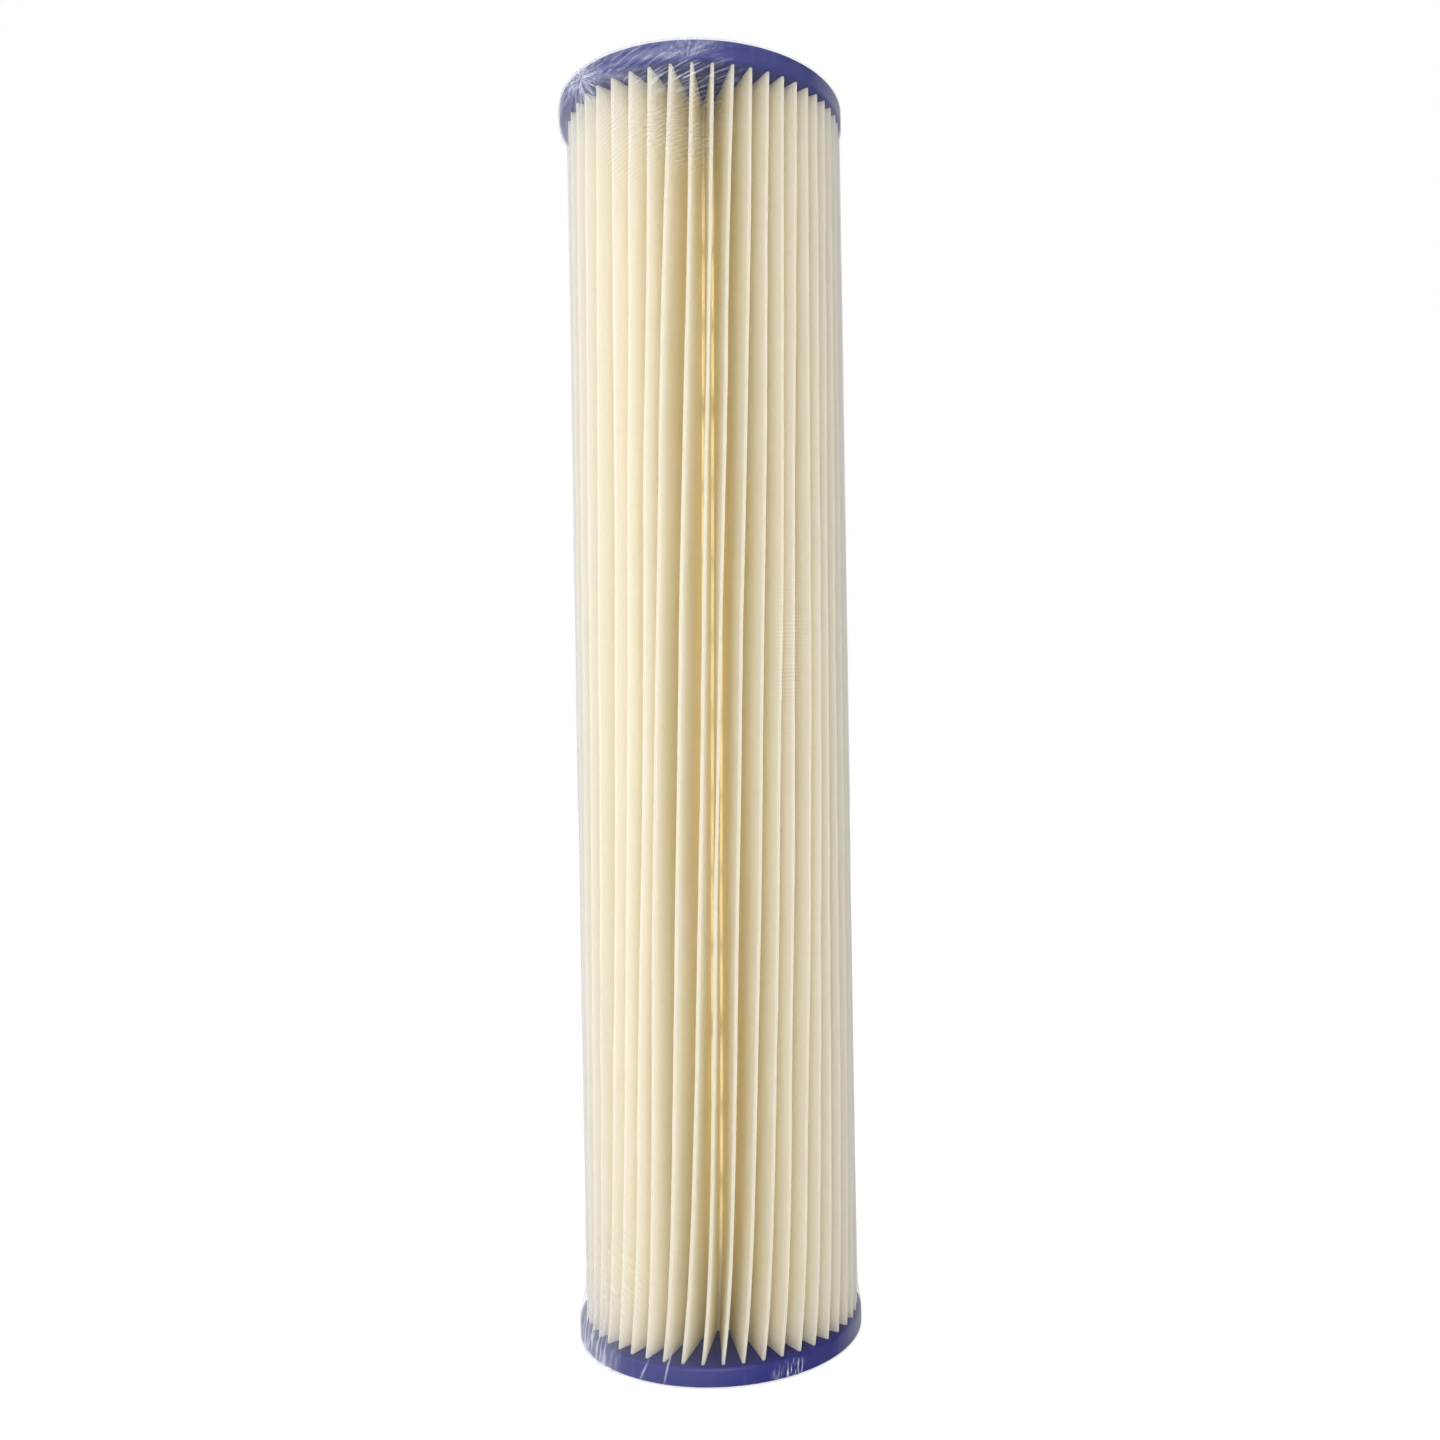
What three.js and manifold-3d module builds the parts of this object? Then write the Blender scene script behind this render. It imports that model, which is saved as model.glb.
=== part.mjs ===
// Pleated filter cartridge, open at both ends, of the nominal 20 inch by 4.5 inch size.
// Millimetres, +Z up the axis, origin at the centre of the bottom end face.

import * as THREE from 'three';
import { mergeVertices } from 'three/addons/utils/BufferGeometryUtils.js';
import Module from 'manifold-3d';

const wasm = await Module();
wasm.setup();

// Driving dimensions.
const LENGTH = 500; // over the two end faces
const CLEARANCE = 0.3; // between pieces that are bonded or nested on the real cartridge

const CAP_DIAMETER = 115;
const CAP_HEIGHT = 8.5;
const CAP_CHAMFER = 0.8;
const BORE_DIAMETER = 28.5;
const MARGIN_STEP = 0.9; // the outer margin of an end face is set back this far
const MARGIN_DIAMETER = 92; // inside diameter of that margin
const FACE_GROOVE_DIAMETER = 64;
const FACE_GROOVE_WIDTH = 3;
const FACE_GROOVE_DEPTH = 0.6;
const POTTING_DEPTH = 4; // how deep the pleats and the core are cast into each cap

const PLEAT_COUNT = 48;
const PLEAT_OUTER_DIAMETER = 111.2; // over the crests
const PLEAT_INNER_DIAMETER = 52; // inside the inner folds
const MEDIA_THICKNESS = 0.7;
const FOLD_WIDTH = 1.1; // between the middles of the two leaves at a fold

const SEAM_INNER_RADIUS = 28.5;
const SEAM_OUTER_RADIUS = 41;
const SEAM_INNER_WIDTH = 0.8;
const SEAM_OUTER_WIDTH = 0.4;

const CORE_DIAMETER = 48;
const CORE_WALL = 2.2;
const CORE_SECTIONS = 4;
const SPIGOT_LENGTH = 4;
const WINDOW_COLUMNS = 8;
const WINDOW_ROWS = 4;
const WINDOW_WIDTH = 12;
const WINDOW_HEIGHT = 24;

const FILM_THICKNESS = 0.3;
const FILM_BRIDGE = 15; // the film slopes from cap to pleats over this length
const FILM_END_OPENING = 97; // diameter of the round opening that shrinking leaves at each end

const ROUND_SEGMENTS = 48;
const CORE_SEGMENTS = 24;

const capRadius = CAP_DIAMETER / 2;
const boreRadius = BORE_DIAMETER / 2;
const coreRadius = CORE_DIAMETER / 2;
const coreBoreRadius = coreRadius - CORE_WALL;
const pleatPitch = (2 * Math.PI) / PLEAT_COUNT;
const pottedBottom = CAP_HEIGHT - POTTING_DEPTH;
const pottedLength = LENGTH - 2 * pottedBottom;

// A geometry as a manifold solid, with its shared vertices merged.
function solidOf(geometry) {
  const bare = geometry.clone();
  bare.deleteAttribute('normal');
  bare.deleteAttribute('uv');
  const merged = mergeVertices(bare, 1e-4);
  return new wasm.Manifold(
    new wasm.Mesh({
      numProp: 3,
      vertProperties: merged.attributes.position.array,
      triVerts: new Uint32Array(merged.index.array),
    }),
  );
}

// A manifold solid as a geometry that can be drawn.
function geometryOf(solid) {
  const { vertProperties, triVerts } = solid.getMesh();
  const indexed = new THREE.BufferGeometry();
  indexed.setAttribute('position', new THREE.BufferAttribute(vertProperties, 3));
  indexed.setIndex(new THREE.BufferAttribute(triVerts, 1));
  const geometry = indexed.toNonIndexed();
  geometry.computeVertexNormals();
  return geometry;
}

// Turns a closed outline of [radius, height] points about Z. The outline runs anticlockwise.
function revolved(outline, segments) {
  const points = [...outline, outline[0]].map(([radius, height]) => new THREE.Vector2(radius, height));
  return new THREE.LatheGeometry(points, segments).rotateX(Math.PI / 2);
}

// Extrudes a shape along +Z from a starting height.
function extruded(shape, start, length) {
  const geometry = new THREE.ExtrudeGeometry(shape, { depth: length, steps: 1, bevelEnabled: false });
  return geometry.translate(0, 0, start);
}

// Turns the drawing of the bottom end over, to serve at the top end.
function atTopEnd(geometry) {
  return geometry.rotateX(Math.PI).translate(0, 0, LENGTH);
}

// The middle line of the folded sheet: two points at each crest and two at each inner fold.
function pleatLine() {
  const crest = PLEAT_OUTER_DIAMETER / 2 - MEDIA_THICKNESS / 2;
  const innerFold = PLEAT_INNER_DIAMETER / 2 + MEDIA_THICKNESS / 2;
  const line = [];
  for (let i = 0; i < PLEAT_COUNT; i++) {
    const crestAngle = (i + 0.5) * pleatPitch;
    const foldAngle = (i + 1) * pleatPitch;
    for (const [radius, angle] of [[crest, crestAngle], [innerFold, foldAngle]]) {
      const radial = new THREE.Vector2(Math.cos(angle), Math.sin(angle));
      const across = new THREE.Vector2(-radial.y, radial.x);
      for (const side of [-1, 1]) {
        const point = radial.clone().multiplyScalar(radius);
        line.push(point.addScaledVector(across, (side * FOLD_WIDTH) / 2));
      }
    }
  }
  return line;
}

// A closed line moved sideways, outwards for a positive distance, with mitred corners.
function offsetLine(line, distance) {
  return line.map((point, i) => {
    const before = line[(i + line.length - 1) % line.length];
    const after = line[(i + 1) % line.length];
    const arriving = point.clone().sub(before).normalize();
    const leaving = after.clone().sub(point).normalize();
    const mitre = new THREE.Vector2(arriving.y + leaving.y, -arriving.x - leaving.x);
    const scale = distance / (1 + arriving.dot(leaving));
    return point.clone().addScaledVector(mitre, scale);
  });
}

// The pleated sheet: one long strip folded back and forth and closed into a ring.
function pleatedMedia() {
  const line = pleatLine();
  const ring = new THREE.Shape(offsetLine(line, MEDIA_THICKNESS / 2));
  ring.holes.push(new THREE.Path(offsetLine(line, -MEDIA_THICKNESS / 2)));
  return extruded(ring, pottedBottom, pottedLength);
}

// The pocket that one leaf of a pleat needs in a cap, from its crest to its inner fold.
function leafPocket([from, to]) {
  const length = from.distanceTo(to) + MEDIA_THICKNESS + 2 * CLEARANCE;
  const width = MEDIA_THICKNESS + 2 * CLEARANCE;
  const depth = 2 * (POTTING_DEPTH + CLEARANCE);
  const pocket = new THREE.BoxGeometry(length, width, depth);
  pocket.rotateZ(Math.atan2(to.y - from.y, to.x - from.x));
  return pocket.translate((from.x + to.x) / 2, (from.y + to.y) / 2, CAP_HEIGHT);
}

// One cast cap, drawn as the bottom one. Its inner side has a ring groove for the core
// and a zigzag pocket for the pleats. Its end face is a flat seal face with a set-back margin.
function endCap() {
  const grooveFloor = CAP_HEIGHT - POTTING_DEPTH - CLEARANCE;
  const grooveInside = coreBoreRadius - CLEARANCE;
  const grooveOutside = coreRadius + CLEARANCE;
  const faceGrooveInside = (FACE_GROOVE_DIAMETER - FACE_GROOVE_WIDTH) / 2;
  const faceGrooveOutside = (FACE_GROOVE_DIAMETER + FACE_GROOVE_WIDTH) / 2;
  const outline = [
    [boreRadius + CAP_CHAMFER, 0],
    [faceGrooveInside, 0],
    [faceGrooveInside + FACE_GROOVE_DEPTH, FACE_GROOVE_DEPTH],
    [faceGrooveOutside - FACE_GROOVE_DEPTH, FACE_GROOVE_DEPTH],
    [faceGrooveOutside, 0],
    [MARGIN_DIAMETER / 2, 0],
    [MARGIN_DIAMETER / 2 + MARGIN_STEP, MARGIN_STEP],
    [capRadius - CAP_CHAMFER, MARGIN_STEP],
    [capRadius, MARGIN_STEP + CAP_CHAMFER],
    [capRadius, CAP_HEIGHT - CAP_CHAMFER / 2],
    [capRadius - CAP_CHAMFER / 2, CAP_HEIGHT],
    [grooveOutside, CAP_HEIGHT],
    [grooveOutside, grooveFloor],
    [grooveInside, grooveFloor],
    [grooveInside, CAP_HEIGHT],
    [boreRadius, CAP_HEIGHT],
    [boreRadius, CAP_CHAMFER],
  ];
  const line = pleatLine();
  const stretches = line.map((point, i) => [point, line[(i + 1) % line.length]]);
  const leaves = stretches.filter((stretch, i) => i % 2 === 1);
  const pockets = leaves.map((leaf) => solidOf(leafPocket(leaf)));
  const allPockets = pockets.reduce((joined, pocket) => joined.add(pocket));
  return geometryOf(solidOf(revolved(outline, ROUND_SEGMENTS)).subtract(allPockets));
}

// The bead of hot glue that joins the sheet's two ends, inside one pleat at the back.
function seamGlue() {
  const angle = (PLEAT_COUNT / 4 + 0.5) * pleatPitch;
  const bead = new THREE.Shape([
    new THREE.Vector2(SEAM_INNER_RADIUS, -SEAM_INNER_WIDTH / 2),
    new THREE.Vector2(SEAM_OUTER_RADIUS, -SEAM_OUTER_WIDTH / 2),
    new THREE.Vector2(SEAM_OUTER_RADIUS, SEAM_OUTER_WIDTH / 2),
    new THREE.Vector2(SEAM_INNER_RADIUS, SEAM_INNER_WIDTH / 2),
  ]);
  const start = CAP_HEIGHT + CLEARANCE;
  return extruded(bead, start, LENGTH - 2 * start).rotateZ(angle);
}

// One moulded length of the core: a tube with rows of windows, a spigot at its upper end
// and a socket at its lower end.
function coreSection(length) {
  const jointRadius = (coreRadius + coreBoreRadius) / 2;
  const spigotRadius = jointRadius - CLEARANCE / 2;
  const socketRadius = jointRadius + CLEARANCE / 2;
  const shoulder = length - SPIGOT_LENGTH;
  const outline = [
    [socketRadius, 0],
    [coreRadius, 0],
    [coreRadius, shoulder - CLEARANCE],
    [spigotRadius, shoulder - CLEARANCE],
    [spigotRadius, length - CLEARANCE],
    [coreBoreRadius, length - CLEARANCE],
    [coreBoreRadius, SPIGOT_LENGTH],
    [socketRadius, SPIGOT_LENGTH],
  ];
  const rowPitch = (shoulder - SPIGOT_LENGTH) / WINDOW_ROWS;
  let section = solidOf(revolved(outline, CORE_SEGMENTS));
  for (let row = 0; row < WINDOW_ROWS; row++) {
    const height = SPIGOT_LENGTH + (row + 0.5) * rowPitch;
    for (let column = 0; column < WINDOW_COLUMNS; column++) {
      const window = new THREE.BoxGeometry(4 * CORE_WALL, WINDOW_WIDTH, WINDOW_HEIGHT);
      window.translate(jointRadius, 0, height);
      window.rotateZ((2 * Math.PI * column) / WINDOW_COLUMNS);
      section = section.subtract(solidOf(window));
    }
  }
  return geometryOf(section);
}

// The shrink film: a thin sleeve that lies on the crests, slopes out over both caps
// and turns in over the margins of the end faces, where it stays open.
function shrinkFilm() {
  const overCap = capRadius + CLEARANCE;
  const overPleats = PLEAT_OUTER_DIAMETER / 2 + CLEARANCE;
  const faceSide = MARGIN_STEP - CLEARANCE;
  const innerHalf = [
    [FILM_END_OPENING / 2, faceSide],
    [capRadius - CAP_CHAMFER + CLEARANCE / 2, faceSide],
    [overCap, MARGIN_STEP + CAP_CHAMFER - CLEARANCE / 2],
    [overCap, CAP_HEIGHT],
    [overPleats, CAP_HEIGHT + FILM_BRIDGE],
  ];
  const outerHalf = [
    [FILM_END_OPENING / 2, faceSide - FILM_THICKNESS],
    [capRadius - CAP_CHAMFER + CLEARANCE, faceSide - FILM_THICKNESS],
    [overCap + FILM_THICKNESS, MARGIN_STEP + CAP_CHAMFER - CLEARANCE],
    [overCap + FILM_THICKNESS, CAP_HEIGHT],
    [overPleats + FILM_THICKNESS, CAP_HEIGHT + FILM_BRIDGE],
  ];
  const upperHalf = (half) => half.map(([radius, height]) => [radius, LENGTH - height]);
  const outline = [
    ...outerHalf,
    ...upperHalf(outerHalf).reverse(),
    ...upperHalf(innerHalf),
    ...innerHalf.reverse(),
  ];
  return revolved(outline, ROUND_SEGMENTS);
}

function material(color, roughness) {
  return new THREE.MeshStandardMaterial({ color, roughness, metalness: 0 });
}

const vinyl = material(0x4c5492, 0.45);
const paper = material(0xece2c4, 0.9);
const glue = material(0xe9dfb8, 0.35);
const polypropylene = material(0xf2f2ee, 0.5);
const film = material(0xf4f8fa, 0.1);
film.transparent = true;
film.opacity = 0.25;

const cartridge = new THREE.Group();

function addPiece(name, geometry, finish) {
  const mesh = new THREE.Mesh(geometry, finish);
  mesh.name = name;
  cartridge.add(mesh);
  return mesh;
}

addPiece('bottom_end_cap', endCap(), vinyl);
addPiece('top_end_cap', atTopEnd(endCap()), vinyl);
addPiece('pleated_media', pleatedMedia(), paper);
addPiece('media_seam_glue', seamGlue(), glue);

const sectionPitch = (pottedLength - SPIGOT_LENGTH + CLEARANCE) / CORE_SECTIONS;
for (let i = 0; i < CORE_SECTIONS; i++) {
  const section = addPiece(`core_section_${i + 1}`, coreSection(sectionPitch + SPIGOT_LENGTH), polypropylene);
  section.position.z = pottedBottom + i * sectionPitch;
}

addPiece('shrink_film', shrinkFilm(), film);

export default cartridge;
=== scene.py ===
import math

import bmesh
import bpy
from mathutils import Matrix, Vector, noise


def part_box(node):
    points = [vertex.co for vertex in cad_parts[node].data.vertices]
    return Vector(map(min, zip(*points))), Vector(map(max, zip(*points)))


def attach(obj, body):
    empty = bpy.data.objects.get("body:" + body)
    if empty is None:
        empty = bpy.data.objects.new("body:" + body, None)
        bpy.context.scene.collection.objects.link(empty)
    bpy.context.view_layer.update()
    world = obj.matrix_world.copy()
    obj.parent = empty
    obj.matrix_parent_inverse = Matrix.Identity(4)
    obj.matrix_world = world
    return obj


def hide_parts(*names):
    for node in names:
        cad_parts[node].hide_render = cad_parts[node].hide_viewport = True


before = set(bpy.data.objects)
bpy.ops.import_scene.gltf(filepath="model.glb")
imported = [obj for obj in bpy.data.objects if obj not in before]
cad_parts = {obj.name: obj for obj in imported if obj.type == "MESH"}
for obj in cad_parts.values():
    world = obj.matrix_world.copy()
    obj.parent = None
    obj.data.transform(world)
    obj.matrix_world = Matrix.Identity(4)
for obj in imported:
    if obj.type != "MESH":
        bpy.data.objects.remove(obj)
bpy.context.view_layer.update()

MM = 0.001


# --- Core --------------------------------------------------------------------------------
# Four injection-moulded polypropylene lengths, pushed together by spigots into one
# perforated tube. It holds the pleats open and leads the clean water to the bores.

CORE_RADIUS = 24 * MM
CORE_BORE_RADIUS = 21.8 * MM
CORE_STEPS = 96
SPIGOT_LENGTH = 4 * MM
SPIGOT_RADIUS = 22.75 * MM
SOCKET_RADIUS = 23.05 * MM
SHOULDER_GAP = 0.3 * MM
WINDOW_COLUMNS = 8
WINDOW_ROWS = 4
WINDOW_HEIGHT = 24 * MM
WINDOW_STEPS = 8
MOULDED_EDGE = 0.35 * MM
SHARP_ANGLE = math.radians(40)


def spun(outline, steps, closed=True):
    """An outline of (radius, height) points, turned once about Z."""
    mesh = bmesh.new()
    points = [mesh.verts.new((radius, 0, height)) for radius, height in outline]
    following = points[1:] + points[:1] if closed else points[1:]
    edges = [mesh.edges.new(pair) for pair in zip(points, following)]
    bmesh.ops.spin(mesh, geom=points + edges, cent=(0, 0, 0), axis=(0, 0, 1),
                   angle=2 * math.pi, steps=steps, use_merge=True, use_duplicate=False)
    bmesh.ops.recalc_face_normals(mesh, faces=mesh.faces)
    return mesh


def fitted(mesh, name, finish, slot, *nodes):
    """A finished mesh as a piece of the cartridge, in place of its nodes of the frame."""
    data = bpy.data.meshes.new(name)
    mesh.to_mesh(data)
    mesh.free()
    data.materials.append(finish)
    data.shade_smooth()
    data.set_sharp_from_angle(angle=SHARP_ANGLE)
    piece = bpy.data.objects.new(name, data)
    bpy.context.scene.collection.objects.link(piece)
    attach(piece, "root")
    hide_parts(*nodes)
    return piece


def srgb(red, green, blue):
    """A colour given from 0 to 255 a channel, carried along the sRGB curve to linear light."""
    linear = []
    for channel in (red, green, blue):
        share = channel / 255
        linear.append(share / 12.92 if share < 0.0404 else ((share + 0.055) / 1.055) ** 2.4)
    return (*linear, 1)


def new_finish(name):
    """A new material: itself, its node tree and its main shader."""
    finish = bpy.data.materials.new(name)
    finish.use_nodes = True
    tree = finish.node_tree
    return finish, tree, tree.nodes["Principled BSDF"]


def add(tree, kind, inputs, **settings):
    """A node with its settings, and its inputs set to values or joined to sockets."""
    node = tree.nodes.new(kind)
    for key, value in settings.items():
        setattr(node, key, value)
    for key, value in inputs.items():
        if isinstance(value, bpy.types.NodeSocket):
            tree.links.new(value, node.inputs[key])
        else:
            node.inputs[key].default_value = value
    return node


def mottle(tree, where, scale, detail=4, roughness=0.6):
    """Cloudy noise from 0 to 1, at a scale in clouds per metre."""
    return add(tree, "ShaderNodeTexNoise", {"Vector": where, "Scale": scale, "Detail": detail,
                                            "Roughness": roughness}).outputs["Fac"]


def ranged(tree, value, low, high, to_low, to_high):
    """A value carried from one range to another, and kept inside it."""
    return add(tree, "ShaderNodeMapRange", {"Value": value, "From Min": low, "From Max": high,
                                            "To Min": to_low, "To Max": to_high}).outputs["Result"]


def blended(tree, factor, first, second):
    """Two colours mixed by a factor."""
    node = add(tree, "ShaderNodeMix", {"Factor": factor}, data_type="RGBA")
    for socket, colour in ((node.inputs[6], first), (node.inputs[7], second)):
        if isinstance(colour, bpy.types.NodeSocket):
            tree.links.new(colour, socket)
        else:
            socket.default_value = colour
    return node.outputs[2]


def embossed(tree, shader, height, strength, depth):
    """Raises a shader's surface by a height from 0 to 1, to that depth in metres."""
    bump = add(tree, "ShaderNodeBump", {"Height": height, "Strength": strength, "Distance": depth})
    tree.links.new(bump.outputs["Normal"], shader.inputs["Normal"])


def moulded_polypropylene():
    """Natural polypropylene: milky white, waxy, with faint flow marks."""
    finish, tree, shader = new_finish("moulded_polypropylene")
    place = tree.nodes.new("ShaderNodeTexCoord").outputs["Object"]
    flow = mottle(tree, place, scale=60)
    grain = mottle(tree, place, scale=900, detail=2)
    milky = blended(tree, flow, srgb(226, 227, 222), srgb(240, 240, 235))
    tree.links.new(milky, shader.inputs["Base Color"])
    tree.links.new(ranged(tree, grain, 0.3, 0.7, 0.34, 0.48), shader.inputs["Roughness"])
    embossed(tree, shader, grain, strength=0.25, depth=0.05 * MM)
    return finish


def core_length(low, high):
    """One length: a spun tube with a socket below, a spigot above and windows between."""
    shoulder = high - SPIGOT_LENGTH
    socket_top = low + SPIGOT_LENGTH
    row_pitch = (shoulder - socket_top) / WINDOW_ROWS
    centres = [socket_top + (row + 0.5) * row_pitch for row in range(WINDOW_ROWS)]
    levels = [centre + side * WINDOW_HEIGHT / 2 for centre in centres for side in (-1, 1)]
    outline = [
        (SOCKET_RADIUS, low),
        (CORE_RADIUS, low),
        *((CORE_RADIUS, level) for level in levels),
        (CORE_RADIUS, shoulder - SHOULDER_GAP),
        (SPIGOT_RADIUS, shoulder - SHOULDER_GAP),
        (SPIGOT_RADIUS, high),
        (CORE_BORE_RADIUS, high),
        *((CORE_BORE_RADIUS, level) for level in reversed(levels)),
        (CORE_BORE_RADIUS, socket_top),
        (SOCKET_RADIUS, socket_top),
    ]
    mesh = spun(outline, CORE_STEPS)
    half_width = math.pi * WINDOW_STEPS / CORE_STEPS
    for centre in centres:
        for column in range(WINDOW_COLUMNS):
            middle = 2 * math.pi * column / WINDOW_COLUMNS
            cut_window(mesh, middle, half_width, centre)
    return mesh


def cut_window(mesh, middle, half_width, centre):
    """Takes out one window's faces on both sides of the wall and joins the two holes' edges."""
    def inside(face):
        place = face.calc_center_median()
        turn = math.remainder(math.atan2(place.y, place.x) - middle, 2 * math.pi)
        return abs(turn) < half_width and abs(place.z - centre) < WINDOW_HEIGHT / 2

    bmesh.ops.delete(mesh, geom=[face for face in mesh.faces if inside(face)], context="FACES")
    bmesh.ops.bridge_loops(mesh, edges=[edge for edge in mesh.edges if edge.is_boundary])


natural_white = moulded_polypropylene()
core_names = sorted(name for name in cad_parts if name.startswith("core_section_"))
for name in core_names:
    low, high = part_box(name)
    length_name = name.replace("section", "length")
    tube = fitted(core_length(low.z, high.z), length_name, natural_white, "core", name)
    edge = tube.modifiers.new("moulded_edges", "BEVEL")
    edge.width = MOULDED_EDGE
    edge.segments = 2
    edge.limit_method = "ANGLE"
    edge.angle_limit = SHARP_ANGLE


# --- Pleated media -----------------------------------------------------------------------
# One long strip of cream spunbonded polyester paper, folded back and forth into 48 pleats
# and closed into a ring round the core. Handling has swung the pleats, so they lean as a
# screw does, and its ends are cast into the caps.

media_low, media_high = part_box("pleated_media")
PLEATS = 48
PITCH = 360 / PLEATS
STEPS_PER_PLEAT = 16
HALF_PLEAT = STEPS_PER_PLEAT // 2
MEDIA_ROWS = 120
CREST_RADIUS = 55.6 * MM
INNER_FOLD_RADIUS = 26.4 * MM
FOLD_HALF_WIDTH = 0.55 * MM
FOLD_DROP = 0.3 * MM
FOLD_DEPTH = 0.02
LEAF_STATIONS = (0, 0.22, 0.5, 0.78, 1)
LEAF_DEPTH = 0.04
LEAF_DROP = 3 * FOLD_DROP
LEAF_HALF_WIDTH = 1.1 * FOLD_HALF_WIDTH
LEAF_BOW = 0.75 * MM
HOOK_LEFT_IN_LEAF = 0.8
CREST_WAVER = 0.08 * MM
CREST_SWAY = 0.35 * MM
CREST_WEAR = 0.3 * MM
CREST_WANDER = 0.8
SAME_PLACE = 0.01 * MM
OFF_CENTRE_BELOW = 0.5 * MM
OFF_CENTRE_GAIN = 0.7 * MM
FIRST_CREST = -129.1
# How far, in degrees, single pleats at the front have drifted from the even lean at mid-height.
DRIFTS = {0: 2.4, 1: 0.9, 3: -2.6, 4: -0.5, 5: 0.7, 6: -1.2, 8: 0.6, 9: 1.2, 11: 1.4, 12: 0.9}
# The lean, in degrees: the turn of the pleats at the upper level, and how far they swing from
# there to the lower one. Both are largest at one angle and at the angle opposite to it.
UPPER_LEVEL = 478 * MM
LEAN_SPAN = 447 * MM
TURN = 0.6
TURN_VARIES = 4.4
TURN_LARGEST_AT = -80
SWING = 10.4
SWING_VARIES = 5
SWING_LARGEST_AT = -88
# Just above the bottom cap the pleats are hooked a little further round.
CAST_LEVEL = 8.5 * MM
HOOKED = 3
HOOK_FADES_OVER = 25 * MM


def cos_deg(angle):
    """The cosine of an angle in degrees."""
    return math.cos(math.radians(angle))


def drifting(across, along, length, seed):
    """Smooth noise of about -1 to 1, which changes over that length on the way along."""
    return noise.noise(Vector((across, along / length, seed)))


def leaning(place, height):
    """The angle, in degrees, that a pleat evenly placed at one angle has swung to at a height."""
    down = (UPPER_LEVEL - height) / LEAN_SPAN
    turn = TURN + TURN_VARIES * cos_deg(2 * (place - TURN_LARGEST_AT))
    swing = SWING + SWING_VARIES * cos_deg(2 * (place - SWING_LARGEST_AT))
    hooked = HOOKED * math.exp(-(height - CAST_LEVEL) / HOOK_FADES_OVER)
    return place + turn - swing * down - hooked


def crest_angle(number, height):
    """The angle of one crest at a height, with its own drift and wander, in degrees."""
    own = number % PLEATS
    middle = math.sin(math.pi * min(1, max(0, height / media_high.z)))
    wander = CREST_WANDER * drifting(own * 3.7, height, 120 * MM, seed=0.5)
    return leaning(FIRST_CREST + PITCH * number, height) + (DRIFTS.get(own, 0) + wander) * middle


def turned(radius, angle, across):
    """The point at a radius and an angle in degrees, moved sideways by a distance."""
    a = math.radians(angle)
    x = radius * math.cos(a) - across * math.sin(a)
    y = radius * math.sin(a) + across * math.cos(a)
    return Vector((x, y))


def off_centre(height):
    """How far the pleats stand off the caps' centre at a height, towards +X."""
    return OFF_CENTRE_BELOW + OFF_CENTRE_GAIN * height / media_high.z


def paper_point(column, height):
    """Where one point of the strip lies once folded, and its depth from 0 at a crest to 1."""
    pleat, step = divmod(column, STEPS_PER_PLEAT)
    leaving = step <= HALF_PLEAT
    crest = pleat if leaving else pleat + 1
    side = 1 if leaving else -1
    step = step if leaving else STEPS_PER_PLEAT - step
    crest_at = crest_angle(crest, height)
    fold_at = (crest_angle(pleat, height) + crest_angle(pleat + 1, height)) / 2
    own = (crest % PLEATS) * 5.3
    hook = CREST_WAVER * drifting(own, height, 16 * MM, seed=7)
    hook += CREST_SWAY * drifting(own, height, 80 * MM, seed=11)
    crest_radius = CREST_RADIUS - CREST_WEAR * abs(drifting(own, height, 40 * MM, seed=3))
    if step == 0:
        return turned(crest_radius, crest_at, hook), 0
    if step == 1:
        return turned(crest_radius - FOLD_DROP, crest_at, hook + side * FOLD_HALF_WIDTH), FOLD_DEPTH
    if step == HALF_PLEAT:
        return turned(INNER_FOLD_RADIUS, fold_at, 0), 1
    if step == HALF_PLEAT - 1:
        return turned(INNER_FOLD_RADIUS + FOLD_DROP, fold_at, -side * FOLD_HALF_WIDTH), 1 - FOLD_DEPTH
    along = LEAF_STATIONS[step - 2]
    outer = turned(crest_radius - LEAF_DROP, crest_at, HOOK_LEFT_IN_LEAF * hook + side * LEAF_HALF_WIDTH)
    inner = turned(INNER_FOLD_RADIUS + LEAF_DROP, fold_at, -side * FOLD_HALF_WIDTH)
    bow = LEAF_BOW * drifting(own + side * 31, height, 90 * MM, seed=17)
    sideways = (outer - inner).orthogonal().normalized() * bow * math.sin(math.pi * along)
    return outer.lerp(inner, along) + sideways, LEAF_DEPTH + (1 - 2 * LEAF_DEPTH) * along


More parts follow.
